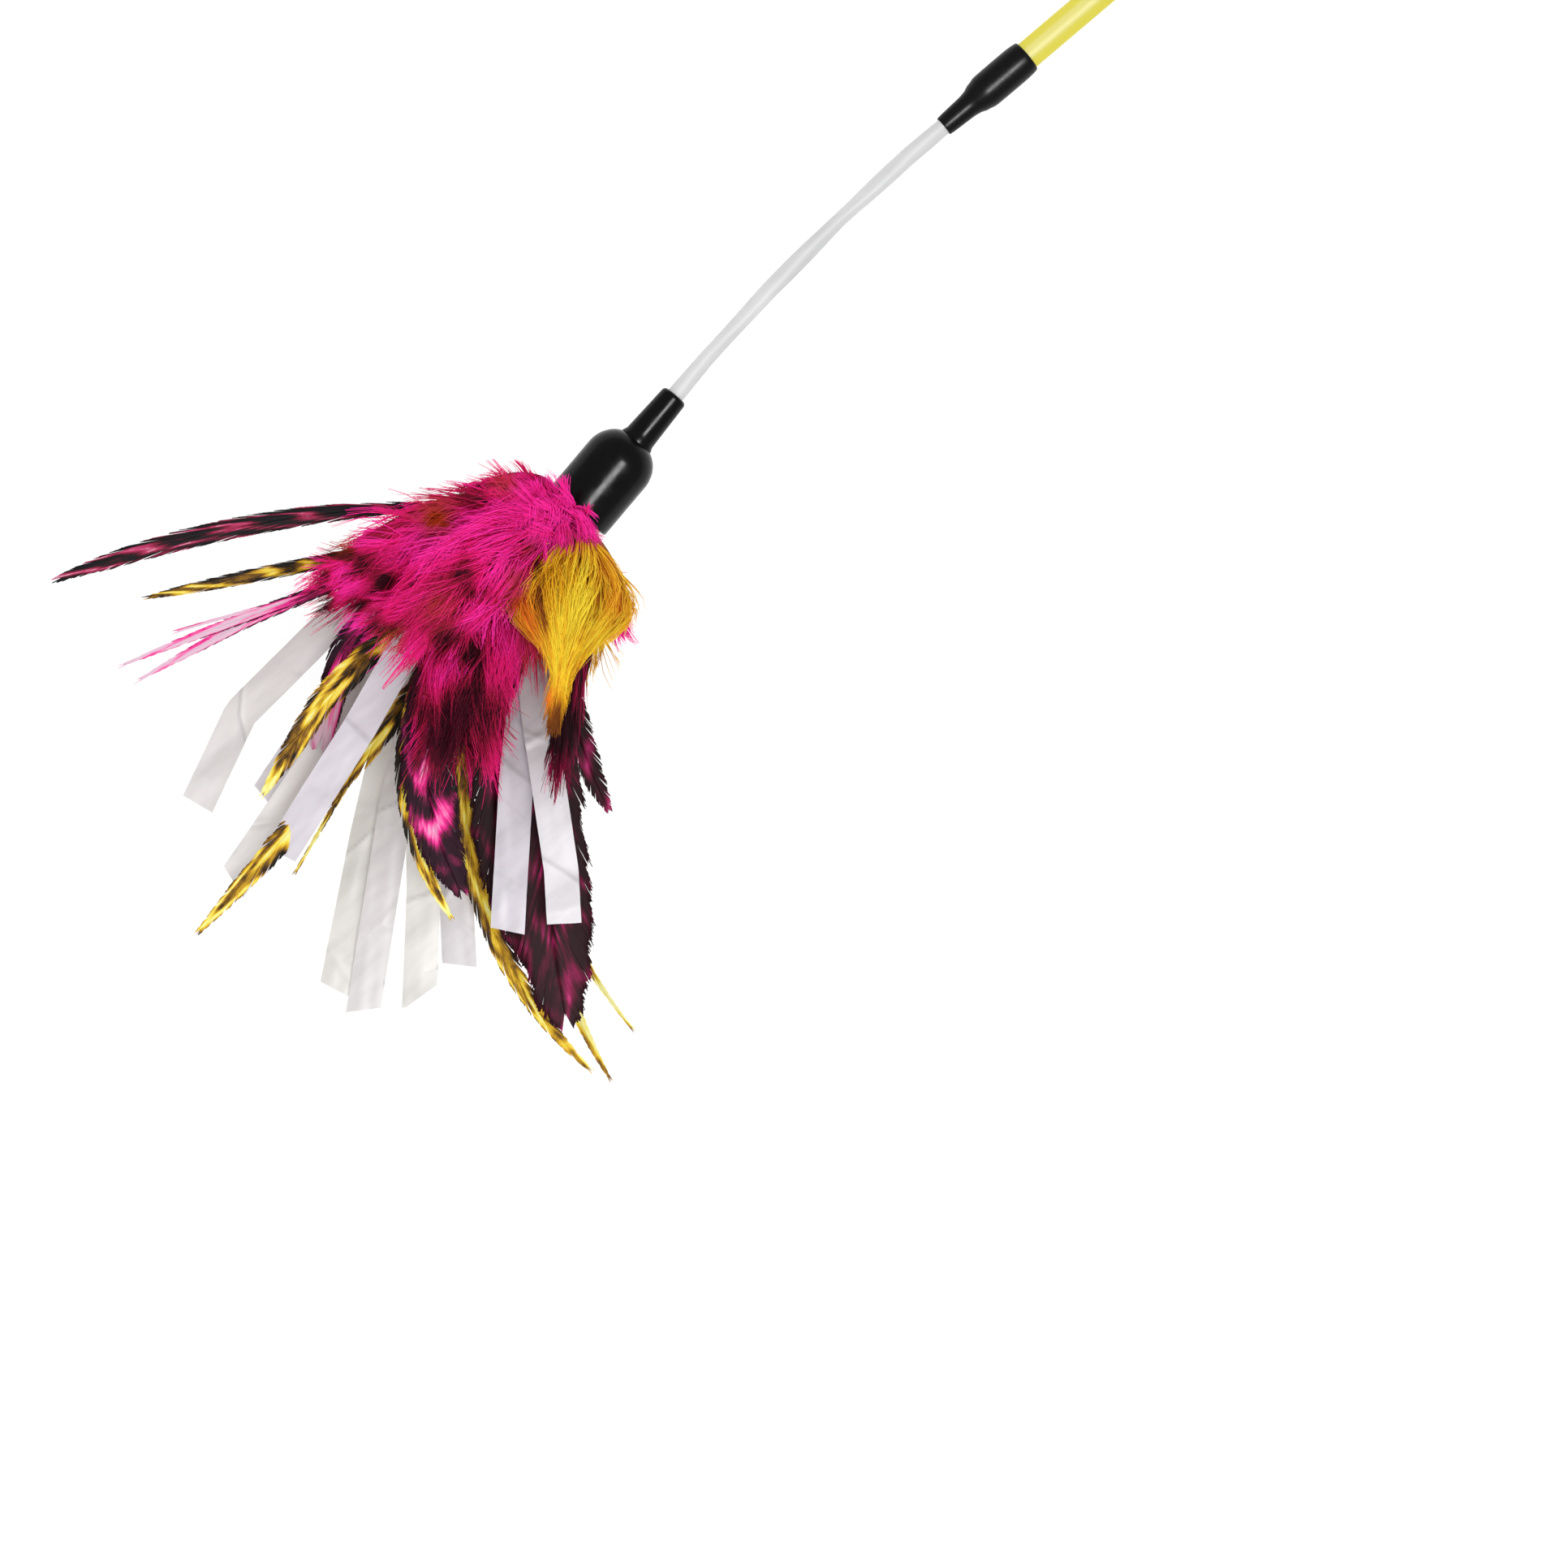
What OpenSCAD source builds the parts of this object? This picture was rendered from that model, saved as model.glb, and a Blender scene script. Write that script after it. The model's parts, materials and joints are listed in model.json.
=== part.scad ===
// Cat teaser wand: a coloured tube with a springy clear stem, and a black cup that
// holds a tuft of dyed plumes, long hackle feathers and strips of crackling film.
// Millimetres. X runs along the wand from its butt to the lure, and Z is up when
// the wand lies down. The origin is the centre of the tube's end, inside its cap.

/* [Tube] */
// Outer diameter of the coloured tube
rod_d = 6; // [5:0.5:8]
// Wall of the coloured tube
rod_wall = 1.1; // [0.8:0.1:1.3]
// Length of the coloured tube
rod_len = 410; // [250:10:600]

/* [Butt cap] */
// Wall of the push-on cap
cap_wall = 1.1; // [0.8:0.1:2]
// Length of tube that the cap covers
cap_grip = 24; // [12:1:40]
// Thickness of the cap's closed end
cap_end = 2.5; // [2:0.5:5]

/* [Coupler sleeve] */
// Wall of the sleeve
sleeve_wall = 0.75; // [0.6:0.05:1.2]
// Length of tube that the sleeve covers
sleeve_grip = 12.5; // [8:0.5:20]
// Length of the sleeve's cone
sleeve_cone = 3.4; // [2:0.2:8]
// Length of stem that the sleeve covers
sleeve_stem_grip = 6.6; // [4:0.2:12]

/* [Springy stem] */
// Length of the stem that shows between sleeve and cup
stem_len = 78; // [60:1:120]
// Length of the stem inside the tube
stem_in_rod = 26; // [15:1:40]
// Angle that the stem has taken on from hanging, from tube to cup
stem_set = 9.5; // [0:0.5:15]

/* [Cup] */
// Outer diameter of the cup
cup_d = 15; // [14:0.5:18]
// Wall of the cup
cup_wall = 1.2; // [0.8:0.1:1.6]
// Length of the cup's body
cup_len = 19.5; // [18:0.5:30]
// Radius of the cup's shoulder
cup_shoulder = 6; // [3:0.1:6]
// Length of the neck that holds the stem
neck_len = 12; // [8:0.5:16]
// Wall of the neck at its tip
neck_wall = 1; // [0.8:0.1:1.4]
// Amount by which the neck's wall is thicker where it meets the cup
neck_flare = 0.45; // [0.2:0.05:0.8]

/* [Quills and glue] */
// Diameter of one quill
quill_d = 1.4; // [1:0.1:1.6]
// Length of the quills inside the cup, past their binding
quill_len = 9; // [6:0.5:12]
// Length of the thread binding round the quills
binding_len = 3; // [2:0.5:5]
// Thickness of the thread binding
binding_t = 0.5; // [0.3:0.1:0.8]

/* [Film strips] */
// Length of a full film strip
strip_len = 108; // [80:1:120]
// Width of a film strip
strip_w = 7; // [4:0.5:8]
// Thickness of a film strip
strip_t = 0.3; // [0.2:0.05:0.35]

/* [Hackle feathers] */
// Length of the longest hackle
hackle_len = 120; // [90:1:130]
// Width of a slim hackle
hackle_w = 5; // [3:0.5:6]
// Thickness of a hackle's vane
hackle_t = 0.4; // [0.3:0.05:0.45]

/* [Plumes] */
// Length of a full plume
plume_len = 50; // [40:1:55]
// Width of a full plume
plume_w = 18; // [12:0.5:19]
// Thickness of a full plume
plume_t = 12; // [8:0.5:13]

/* [Hidden] */
$fn = 48;
// clearance round what is pushed together
fit_gap = 0.05;
// running gap at the stem's bending points, and between the tuft and the glue
bend_gap = 0.07;
tuft_gap = 0.3;
// overrun of every cut
cut = 1;
// edge rounding of the rubber and the cup, and of the cap's end
edge_r = 0.45;
cap_round = 1.6;
// steps in a rounded outline's quarter
arc_steps = 6;

sleeve_len = sleeve_grip + sleeve_cone + sleeve_stem_grip;
sleeve_x = rod_len - sleeve_grip;
stem_x = sleeve_x + sleeve_len;
// the stem is pushed into the tube's bore
rod_bore_d = rod_d - 2 * rod_wall;
stem_d = rod_bore_d - 2 * fit_gap;
stem_r = stem_d / 2;
// it bends at four places, with half a link before the first and after the last
bends = 4;
link_len = stem_len / bends;

cup_r = cup_d / 2;
cup_bore_r = cup_r - cup_wall;
neck_bore_r = stem_r + fit_gap;
neck_bore_depth = neck_len + cup_wall;
// the cup's mouth, measured along the lure from the last bending point
mouth_x = link_len / 2 + neck_len + cup_len;
glue_r = cup_bore_r - fit_gap;
glue_depth = quill_len + binding_len;
// quills lie in a honeycomb, each pressed a little into the next
quill_rings = 2;
bundle_r = quill_d * quill_rings + quill_d / 2 + fit_gap;
binding_r = bundle_r + fit_gap + binding_t;
// the tuft begins on a ball round the mouth's centre, so that it can sway there
dome_r = cup_r + fit_gap;
tuft_r = dome_r + tuft_gap;

// Strips and hackles leave the mouth in thin layers: the lift angle of the lowest,
// the angle between layers, and how far each flattens again by its tip. A strip
// runs straight once it has turned.
low_angle = -5;
layer_angle = 3.2;
settle_share = 0.8;
strip_bend_share = 0.5;
// A strip: fan angle, how far it turns by its tip, layer, length share, roll.
strip_shares = [
    [-45, 48, 0, 0.91, 6],
    [-15, 15, 2, 0.91, -6],
    [-23, 34, 6, 0.81, 8],
    [-21, 48, 0, 1.0, 4],
    [-13, 41, 1, 1.0, 4],
    [-20, 61, 3.5, 0.97, 4],
    [-11, 52, 3, 0.87, 4],
    [18, 32, 8, 0.75, 4],
    [20, 12, 7, 0.76, 4],
    [-44, 56, 1, 0.78, 8],
];
// A hackle: fan angle, fan turn, layer, length share, width share, roll.
hackle_names = ["hackle_black_pink", "hackle_gold_left", "hackle_pink_pair",
    "hackle_gold_long", "hackle_gold_curved", "hackle_pink_barred", "hackle_maroon",
    "hackle_maroon_broad", "hackle_gold_lower", "hackle_gold_tip", "hackle_pink_right"];
hackle_shares = [
    [-54, 25, 3, 0.84, 1.0, 20],
    [-39, 1, 2, 0.68, 0.8, -14],
    [-35, 10, 3, 0.75, 0.8, 10],
    [-1, -1, 5, 0.905, 1.1, 4],
    [-20, 94, 7, 0.775, 0.9, 4],
    [-15, 84, 8, 0.705, 2.2, 0],
    [11, 52, 5, 0.755, 2.0, 0],
    [23, 34, 6, 0.81, 3.4, 0],
    [1, 87, 4, 1.0, 1.1, 3],
    [19, 55, 2, 0.945, 0.9, 2],
    [30, 38, 5, 0.465, 1.2, 2],
];
// A plume: fan, lift, fan turn, lift turn, length share, width share, thickness share.
plume_names = ["plume_pink_left", "plume_pink_lower", "plume_yellow_right",
    "plume_pink_top", "plume_pink_centre", "plume_maroon", "plume_pink_small",
    "plume_crown", "underplume_left", "underplume_centre", "underplume_right"];
plume_shares = [
    [-45, 32, 24, -12, 1.0, 1.0, 0.9],
    [-6, 32, 36, -14, 1.04, 1.0, 0.9],
    [37, 60, 0, -44, 0.8, 0.95, 0.9],
    [-78, 56, 36, -40, 0.5, 0.7, 0.85],
    [-19, 60, 12, -46, 0.96, 0.9, 0.9],
    [48, 32, -12, -14, 0.86, 0.6, 0.9],
    [64, 7, 4, -2, 0.36, 0.45, 0.4],
    [0, 88, 0, -20, 0.48, 0.6, 0.8],
    [-40, -20, 10, 32, 0.52, 0.6, 0.25],
    [0, -20, 6, 32, 0.52, 0.6, 0.25],
    [40, -20, -4, 32, 0.52, 0.6, 0.25],
];
// width along a piece, from root to tip, as shares of its full width
strip_width_shares = [0.16, 0.5, 0.85, 1, 1, 1, 1, 1, 1, 1, 1];
hackle_width_shares = [0.2, 0.3, 0.5, 0.75, 0.95, 1, 1, 0.92, 0.8, 0.6, 0.36, 0.1];
plume_width_shares = [0.12, 0.32, 0.56, 0.76, 0.92, 1, 0.98, 0.86, 0.6, 0.2];

// Unit vector that points at a fan angle and a lift angle.
function aim(fan, lift) = [cos(lift) * cos(fan), cos(lift) * sin(fan), sin(lift)];

// Points along a soft piece that starts on the tuft's ball. It turns evenly over
// the bend's share of its length.
function walk(fan, lift, fan_turn, lift_turn, length, steps, bend_share = 1) =
    [for (i = 0, p = tuft_r * aim(fan, lift); i <= steps;
        p = p + length / steps * aim(fan + fan_turn * min((i + 0.5) / steps / bend_share, 1),
            lift + lift_turn * (i + 0.5) / steps), i = i + 1) p];

// The two directions across a soft piece: its width and its thickness.
function across(fan, lift, roll) =
    let (side = [-sin(fan), cos(fan), 0], up = cross(aim(fan, lift), side))
    [side * cos(roll) + up * sin(roll), up * cos(roll) - side * sin(roll)];

// One ring of points: a flat band's corners.
function band_ring(centre, axes, width, thickness) =
    [for (c = [[1, 1], [-1, 1], [-1, -1], [1, -1]])
        centre + axes[0] * width / 2 * c[0] + axes[1] * thickness / 2 * c[1]];

// One ring of points: an ellipse.
function oval_ring(centre, axes, width, thickness, sides) =
    [for (k = [0:sides - 1]) let (a = 360 * k / sides)
        centre + axes[0] * width / 2 * cos(a) + axes[1] * thickness / 2 * sin(a)];

// Closes rings of points into one solid with triangles.
module skin(rings) {
    n = len(rings[0]);
    last = len(rings) - 1;
    polyhedron(
        points = [for (r = rings) each r],
        faces = concat(
            [for (i = [0:last - 1]) for (k = [0:n - 1]) let (a = i * n + k,
                b = i * n + (k + 1) % n) each [[a, a + n, b + n], [a, b + n, b]]],
            [for (k = [1:n - 2]) [0, k, k + 1]],
            [for (k = [1:n - 2]) [last * n, last * n + k + 1, last * n + k]]),
        convexity = 4);
}

// A flat strip or feather, in its layer of the tuft.
module ribbon(fan, fan_turn, layer, length, width, thickness, width_shares, roll,
    bend_share = 1) {
    lift = low_angle + layer_angle * layer;
    lift_turn = -lift * settle_share;
    steps = len(width_shares) - 1;
    points = walk(fan, lift, fan_turn, lift_turn, length, steps, bend_share);
    skin([for (i = [0:steps]) band_ring(points[i],
        across(fan + fan_turn * min(i / steps / bend_share, 1),
            lift + lift_turn * i / steps, roll),
        width * width_shares[i], thickness)]);
}

// A fluffy plume: a soft, tapered body.
module fluff(fan, lift, fan_turn, lift_turn, length, width, thickness) {
    steps = len(plume_width_shares) - 1;
    points = walk(fan, lift, fan_turn, lift_turn, length, steps);
    skin([for (i = [0:steps]) oval_ring(points[i],
        across(fan + fan_turn * i / steps, lift + lift_turn * i / steps, 0),
        width * plume_width_shares[i], thickness * plume_width_shares[i], 10)]);
}

// A shape drawn as radius against length, turned round the X axis.
module turned(outline) rotate([90, 0, 90]) rotate_extrude() polygon(outline);

// Points of an arc about a centre, from one angle to another.
function arc(centre, r, from, to) = [for (i = [0:arc_steps])
    centre + r * [cos(from + (to - from) * i / arc_steps),
        sin(from + (to - from) * i / arc_steps)]];

// Places its children at a bending point of the stem, turned by the set so far.
module at_bend(count) {
    if (count == 0) translate([stem_x - link_len / 2, 0, 0]) children();
    else at_bend(count - 1) translate([link_len, 0, 0])
        rotate([0, 0, stem_set / bends]) children();
}

module at_mouth() at_bend(bends) translate([mouth_x, 0, 0]) children();

// A bar or pipe along X, between two places.
module round_bar(from, to, r) translate([from, 0, 0]) rotate([0, 90, 0])
    cylinder(r = r, h = to - from);

// The tube is open right through: its ends are closed by the cap and the sleeve.
module tube() color("khaki") difference() {
    round_bar(0, rod_len, rod_d / 2);
    round_bar(-cut, rod_len + cut, rod_bore_d / 2);
}

// A soft push-on cap with a rounded end.
module butt_cap() color("dimgray") {
    r = rod_d / 2 + fit_gap;
    turned(concat([[0, -cap_end]],
        arc([r + cap_wall - cap_round, cap_round - cap_end], cap_round, -90, 0),
        [[r + cap_wall, cap_grip], [r, cap_grip], [r, 0], [0, 0]]));
}

// A shrunk sleeve that ties the tube to the stem.
module coupler_sleeve() color("dimgray") translate([sleeve_x, 0, 0]) {
    wide = rod_d / 2 + fit_gap;
    slim = stem_r + fit_gap;
    cone_end = sleeve_grip + sleeve_cone;
    turned(concat([[wide, 0]],
        arc([wide + sleeve_wall - edge_r, edge_r], edge_r, -90, 0),
        [[wide + sleeve_wall, sleeve_grip], [slim + sleeve_wall, cone_end]],
        arc([slim + sleeve_wall - edge_r, sleeve_len - edge_r], edge_r, 0, 90),
        [[slim, sleeve_len], [slim, cone_end], [wide, sleeve_grip]]));
}

// One length of the stem along X. A length that bends has a hollow heel, and one
// that another follows has a round nose.
module stem_piece(from, to, heel, nose) difference() {
    union() {
        round_bar(from, to, stem_r);
        if (nose) translate([to, 0, 0]) sphere(r = stem_r);
    }
    if (heel) translate([from, 0, 0]) sphere(r = stem_r + bend_gap);
}

module stem_root() color("gainsboro")
    stem_piece(rod_len - stem_in_rod, stem_x + link_len / 2, false, true);

module stem_link(count) color("gainsboro") at_bend(count)
    stem_piece(0, link_len, true, true);

module stem_tip() color("gainsboro") at_bend(bends)
    stem_piece(0, link_len / 2 + neck_bore_depth, true, false);

// The moulded cup: a neck that grips the stem, round shoulders and an open mouth.
module cup() color("dimgray") at_bend(bends) translate([link_len / 2, 0, 0]) {
    total = neck_len + cup_len;
    neck_r = neck_bore_r + neck_wall;
    base_r = neck_r + neck_flare;
    flat_r = cup_r - cup_shoulder;
    centre = [flat_r, neck_len + cup_shoulder];
    inner_r = cup_shoulder - cup_wall;
    outer_from = -acos(max(0, base_r - flat_r) / cup_shoulder);
    inner_to = -acos(max(0, neck_bore_r - flat_r) / inner_r);
    turned(concat([[neck_bore_r, 0]],
        arc([neck_r - edge_r, edge_r], edge_r, -90, 0),
        base_r < flat_r ? [[base_r, neck_len]] : [],
        arc(centre, cup_shoulder, outer_from, 0),
        arc([cup_r - edge_r, total - edge_r], edge_r, 0, 90),
        [[cup_bore_r, total]],
        arc(centre, inner_r, 0, inner_to),
        neck_bore_r < flat_r ? [[neck_bore_r, neck_bore_depth]] : []));
}

// Glue that fills the mouth of the cup round the quills and bulges out of it.
module glue_plug() color("wheat") at_mouth() difference() {
    intersection() {
        round_bar(-glue_depth, dome_r, glue_r);
        union() {
            sphere(r = dome_r);
            round_bar(-glue_depth, 0, glue_r);
        }
    }
    round_bar(-glue_depth - cut, binding_len - glue_depth, binding_r + fit_gap);
    round_bar(-glue_depth - cut, dome_r + cut, bundle_r + fit_gap);
}

// Quills packed side by side in a honeycomb.
module quill_bundle() color("ivory") at_mouth() translate([-glue_depth, 0, 0])
    for (i = [-quill_rings:quill_rings]) for (j = [-quill_rings:quill_rings])
        if (abs(i + j) <= quill_rings)
            translate([0, quill_d * (i + j / 2), quill_d * j * sin(60)])
                round_bar(0, glue_depth + dome_r * cos(asin(bundle_r / dome_r)),
                    quill_d / 2 + fit_gap);

// Thread wound round the quills' inner end.
module thread_binding() color("white") at_mouth() difference() {
    round_bar(-glue_depth, binding_len - glue_depth, binding_r);
    round_bar(-glue_depth - cut, binding_len - glue_depth + cut, bundle_r + fit_gap);
}

// A strip of crackling film.
module film_strip(row) color("white") at_mouth()
    ribbon(row[0], row[1], row[2], strip_len * row[3], strip_w, strip_t,
        strip_width_shares, row[4], strip_bend_share);

// A long slim feather.
module hackle(row, tint) color(tint) at_mouth()
    ribbon(row[0], row[1], row[2], hackle_len * row[3], hackle_w * row[4], hackle_t,
        hackle_width_shares, row[5]);

// A soft short feather.
module plume(row, tint) color(tint) at_mouth()
    fluff(row[0], row[1], row[2], row[3], plume_len * row[4], plume_w * row[5],
        plume_t * row[6]);

tube();
butt_cap();
coupler_sleeve();
stem_root();
for (i = [1:bends - 1])
    stem_link(i);
stem_tip();
cup();
glue_plug();
quill_bundle();
thread_binding();
for (i = [0:len(strip_shares) - 1])
    film_strip(strip_shares[i]);
for (i = [0:len(hackle_names) - 1])
    hackle(hackle_shares[i], "goldenrod");
for (i = [0:len(plume_names) - 1])
    plume(plume_shares[i], "deeppink");
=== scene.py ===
"""Cat teaser wand, held over a white table and seen from straight above its lure."""
import math

import bmesh
import bpy
import numpy as np
from mathutils import Matrix, Vector, noise
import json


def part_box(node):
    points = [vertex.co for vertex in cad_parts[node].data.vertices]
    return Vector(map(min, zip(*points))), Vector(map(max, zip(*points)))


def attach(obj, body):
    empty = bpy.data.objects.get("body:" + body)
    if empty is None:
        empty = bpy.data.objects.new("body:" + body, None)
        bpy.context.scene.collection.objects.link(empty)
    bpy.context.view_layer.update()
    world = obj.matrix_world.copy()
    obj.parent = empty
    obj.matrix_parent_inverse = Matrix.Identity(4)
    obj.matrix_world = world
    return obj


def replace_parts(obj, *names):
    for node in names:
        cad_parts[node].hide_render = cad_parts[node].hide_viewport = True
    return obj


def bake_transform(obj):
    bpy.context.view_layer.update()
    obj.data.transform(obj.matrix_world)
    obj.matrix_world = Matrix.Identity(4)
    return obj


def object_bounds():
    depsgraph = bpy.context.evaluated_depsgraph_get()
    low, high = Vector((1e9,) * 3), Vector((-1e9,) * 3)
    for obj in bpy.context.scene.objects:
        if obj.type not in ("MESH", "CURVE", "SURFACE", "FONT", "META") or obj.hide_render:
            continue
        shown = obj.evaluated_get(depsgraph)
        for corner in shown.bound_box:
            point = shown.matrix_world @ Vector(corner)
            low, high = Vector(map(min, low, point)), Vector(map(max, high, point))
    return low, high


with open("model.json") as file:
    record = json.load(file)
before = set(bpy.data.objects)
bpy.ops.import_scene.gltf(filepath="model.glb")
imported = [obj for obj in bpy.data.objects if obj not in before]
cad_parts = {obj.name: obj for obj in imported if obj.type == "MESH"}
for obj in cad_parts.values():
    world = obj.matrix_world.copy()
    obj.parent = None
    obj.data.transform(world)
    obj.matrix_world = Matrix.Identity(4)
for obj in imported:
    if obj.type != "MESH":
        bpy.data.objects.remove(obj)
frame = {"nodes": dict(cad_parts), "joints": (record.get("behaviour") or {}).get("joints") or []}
cad_low, cad_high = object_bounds()
nodes = frame["nodes"]

# Camera: straight above the lure with a long lens, turned so that the wand comes in
# from the top right corner, as in the photograph.
MM = 0.001
VIEW_WIDTH = 322 * MM
VIEW_CENTRE = Vector((531.8, 81.2, 0)) * MM
VIEW_TURN = math.radians(139.7)
LENS_MM = 150
SENSOR_MM = 36

camera_data = bpy.data.cameras.new("camera")
camera_data.lens = LENS_MM
camera_data.sensor_width = SENSOR_MM
camera = bpy.data.objects.new("camera", camera_data)
bpy.context.scene.collection.objects.link(camera)
camera.location = VIEW_CENTRE + Vector((0, 0, VIEW_WIDTH * LENS_MM / SENSOR_MM))
camera.rotation_euler = (0, 0, VIEW_TURN)
bpy.context.scene.camera = camera

# Studio: a white table in a pale room, three wide softboxes that light them evenly, and
# a long narrow one whose mirror image is the streak along the black parts. The table is
# far enough below the wand for the lure to clear it when the stem bends down.
TABLE_SIZE = 8
TABLE_DROP = 140 * MM
TABLE_WHITE = (0.93, 0.93, 0.93)
ROOM_LIGHT = 0.55
# A light: its watts, its two sides, and how far it stands up, aside and along from the
# mouth of the cup, in metres.
STREAK_LIGHT = (24, (0.34, 0.6), 1.15, 0.3, -0.1)
WIDE_LIGHTS = {
    "top_light": (9, (1, 1), 1.6, 0.3, 0),
    "left_light": (32, (2.4, 2.4), 1.4, -1.9, 0),
    "right_light": (26, (2.4, 2.4), 1.4, 1.9, 0.4),
}

# plain colours, so that the table's white stays white
bpy.context.scene.view_settings.view_transform = "Standard"

joint_at = {joint["name"]: Vector(joint["pos_m"]) for joint in frame["joints"]}
mouth = joint_at["tuft_sway"]
along = (mouth - joint_at["stem_sway_tip"]).normalized()
up = Vector((0, 0, 1))
aside = up.cross(along)


def new_material(name, colour, roughness, **settings):
    """A material with its even settings on the shader's own sockets."""
    material = bpy.data.materials.new(name)
    material.use_nodes = True
    shader = material.node_tree.nodes["Principled BSDF"]
    shader.inputs["Base Color"].default_value = (*colour, 1)
    shader.inputs["Roughness"].default_value = roughness
    for socket, value in settings.items():
        shader.inputs[socket.replace("_", " ")].default_value = value
    return material, shader


def soft_light(name, watts, sides, rise, sideways, ahead):
    """An area light that looks at the cup's mouth and that the camera doesn't see."""
    lamp = bpy.data.lights.new(name, "AREA")
    lamp.shape = "RECTANGLE"
    lamp.size, lamp.size_y = sides
    lamp.energy = watts
    holder = bpy.data.objects.new(name, lamp)
    bpy.context.scene.collection.objects.link(holder)
    place = mouth + rise * up + sideways * aside + ahead * along
    # the light's long side, its Y, lies along the lure
    back = (place - mouth).normalized()
    side = along.cross(back).normalized()
    turn = Matrix((side, back.cross(side), back)).transposed().to_4x4()
    holder.matrix_world = Matrix.Translation(place) @ turn
    holder.visible_camera = False
    return holder


room = bpy.data.worlds.new("room")
bpy.context.scene.world = room
room.use_nodes = True
background = room.node_tree.nodes["Background"]
background.inputs["Color"].default_value = (1, 1, 1, 1)
background.inputs["Strength"].default_value = ROOM_LIGHT

streak_light = soft_light("streak_light", *STREAK_LIGHT)
streak_light.visible_diffuse = False
for name, facts in WIDE_LIGHTS.items():
    wide_light = soft_light(name, *facts)
    wide_light.visible_glossy = False

table_form = bmesh.new()
bmesh.ops.create_grid(table_form, x_segments=1, y_segments=1, size=TABLE_SIZE / 2)
table_place = (mouth.x, mouth.y, cad_low.z - TABLE_DROP)
bmesh.ops.translate(table_form, verts=table_form.verts, vec=table_place)
table_mesh = bpy.data.meshes.new("table")
table_form.to_mesh(table_mesh)
table_form.free()
table = bpy.data.objects.new("table", table_mesh)
bpy.context.scene.collection.objects.link(table)
table_white, _ = new_material("table_white", TABLE_WHITE, roughness=0.9)
table_mesh.materials.append(table_white)

# Tube: an extruded, tinted clear plastic tube, open at both ends. Its colour holds painted light:
# a deeper yellow towards its edges, where the wall would glow, and a painted paler band down the
# middle, where the empty bore would show.
TUBE_YELLOW = (0.70, 0.63, 0.10)
TUBE_R = 3
STREAK_SHARE = 0.12
# painted light across the tube, from over the bore to the wall's edge: a paler band in the middle,
# a deeper yellow at the edges
TUBE_PAINTED_LIGHT_SHADES = [
    (0.36, (0.72, 0.66, 0.20)), (0.52, (0.69, 0.62, 0.09)), (0.92, (0.70, 0.62, 0.055))]
CAD_SMOOTH_ANGLE = 35


def dress(node, material):
    """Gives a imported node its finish."""
    mesh = nodes[node].data
    mesh.materials.clear()
    mesh.materials.append(material)
    mesh.set_sharp_from_angle(angle=math.radians(CAD_SMOOTH_ANGLE))
    return nodes[node]


def feed(material, socket, value):
    """Sets a node's socket to a number, or links it to another node's output."""
    if isinstance(value, bpy.types.NodeSocket):
        material.node_tree.links.new(value, socket)
    else:
        socket.default_value = value


def sum_of(material, operation, *values):
    """A sum that is worked out at each point of the surface."""
    node = material.node_tree.nodes.new("ShaderNodeMath")
    node.operation = operation
    for socket, value in zip(node.inputs, values):
        feed(material, socket, value)
    return node.outputs["Value"]


def grain(material, scale, detail=3, stretch=(1, 1, 1)):
    """Noise on the object's own coordinates, stretched along its axes."""
    tree = material.node_tree
    place = tree.nodes.new("ShaderNodeTexCoord")
    mapping = tree.nodes.new("ShaderNodeMapping")
    mapping.inputs["Scale"].default_value = stretch
    texture = tree.nodes.new("ShaderNodeTexNoise")
    texture.inputs["Scale"].default_value = scale
    texture.inputs["Detail"].default_value = detail
    tree.links.new(place.outputs["Object"], mapping.inputs["Vector"])
    tree.links.new(mapping.outputs["Vector"], texture.inputs["Vector"])
    return texture.outputs["Fac"]


def ramp(material, value, stops):
    """Turns a value into the colours or greys at the stops."""
    node = material.node_tree.nodes.new("ShaderNodeValToRGB")
    elements = node.color_ramp.elements
    while len(elements) < len(stops):
        elements.new(1)
    for element, (place, colour) in zip(elements, stops):
        element.position = place
        element.color = (*colour, 1) if isinstance(colour, tuple) else (colour,) * 3 + (1,)
    feed(material, node.inputs["Fac"], value)
    return node.outputs["Color"]


def bumpy(material, shader, height, strength, depth_mm):
    """Raises the surface where the height is bright."""
    bump = material.node_tree.nodes.new("ShaderNodeBump")
    bump.inputs["Strength"].default_value = strength
    bump.inputs["Distance"].default_value = depth_mm * MM
    feed(material, bump.inputs["Height"], height)
    feed(material, shader.inputs["Normal"], bump.outputs["Normal"])


def across_the_wand(material):
    """How far a point is from the tube's middle line, seen from above: 0 to 1."""
    tree = material.node_tree
    place = tree.nodes.new("ShaderNodeTexCoord")
    split = tree.nodes.new("ShaderNodeSeparateXYZ")
    tree.links.new(place.outputs["Object"], split.inputs["Vector"])
    aside_of_line = sum_of(material, "ABSOLUTE", split.outputs["Y"])
    return sum_of(material, "DIVIDE", aside_of_line, TUBE_R * MM)


tube_yellow, shader = new_material(
    "tube_yellow", TUBE_YELLOW, roughness=0.4, IOR=1.47, Transmission_Weight=0.12,
    Specular_IOR_Level=0.15)
streaks = grain(tube_yellow, scale=900, stretch=(0.04, 1, 1))
# painted light: the band is laid on by how far a point is from the tube's middle line, seen from
# above
painted_bore_band = across_the_wand(tube_yellow)
tint = sum_of(tube_yellow, "MULTIPLY_ADD", streaks, STREAK_SHARE, painted_bore_band)
feed(tube_yellow, shader.inputs["Base Color"], ramp(tube_yellow, tint, TUBE_PAINTED_LIGHT_SHADES))
bumpy(tube_yellow, shader, streaks, strength=0.2, depth_mm=0.02)
dress("tube", tube_yellow)

# Butt cap: a soft push-on cap of black rubber over the tube's open end, held by its
# own stretch.
RUBBER_BLACK = (0.003, 0.003, 0.003)

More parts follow.
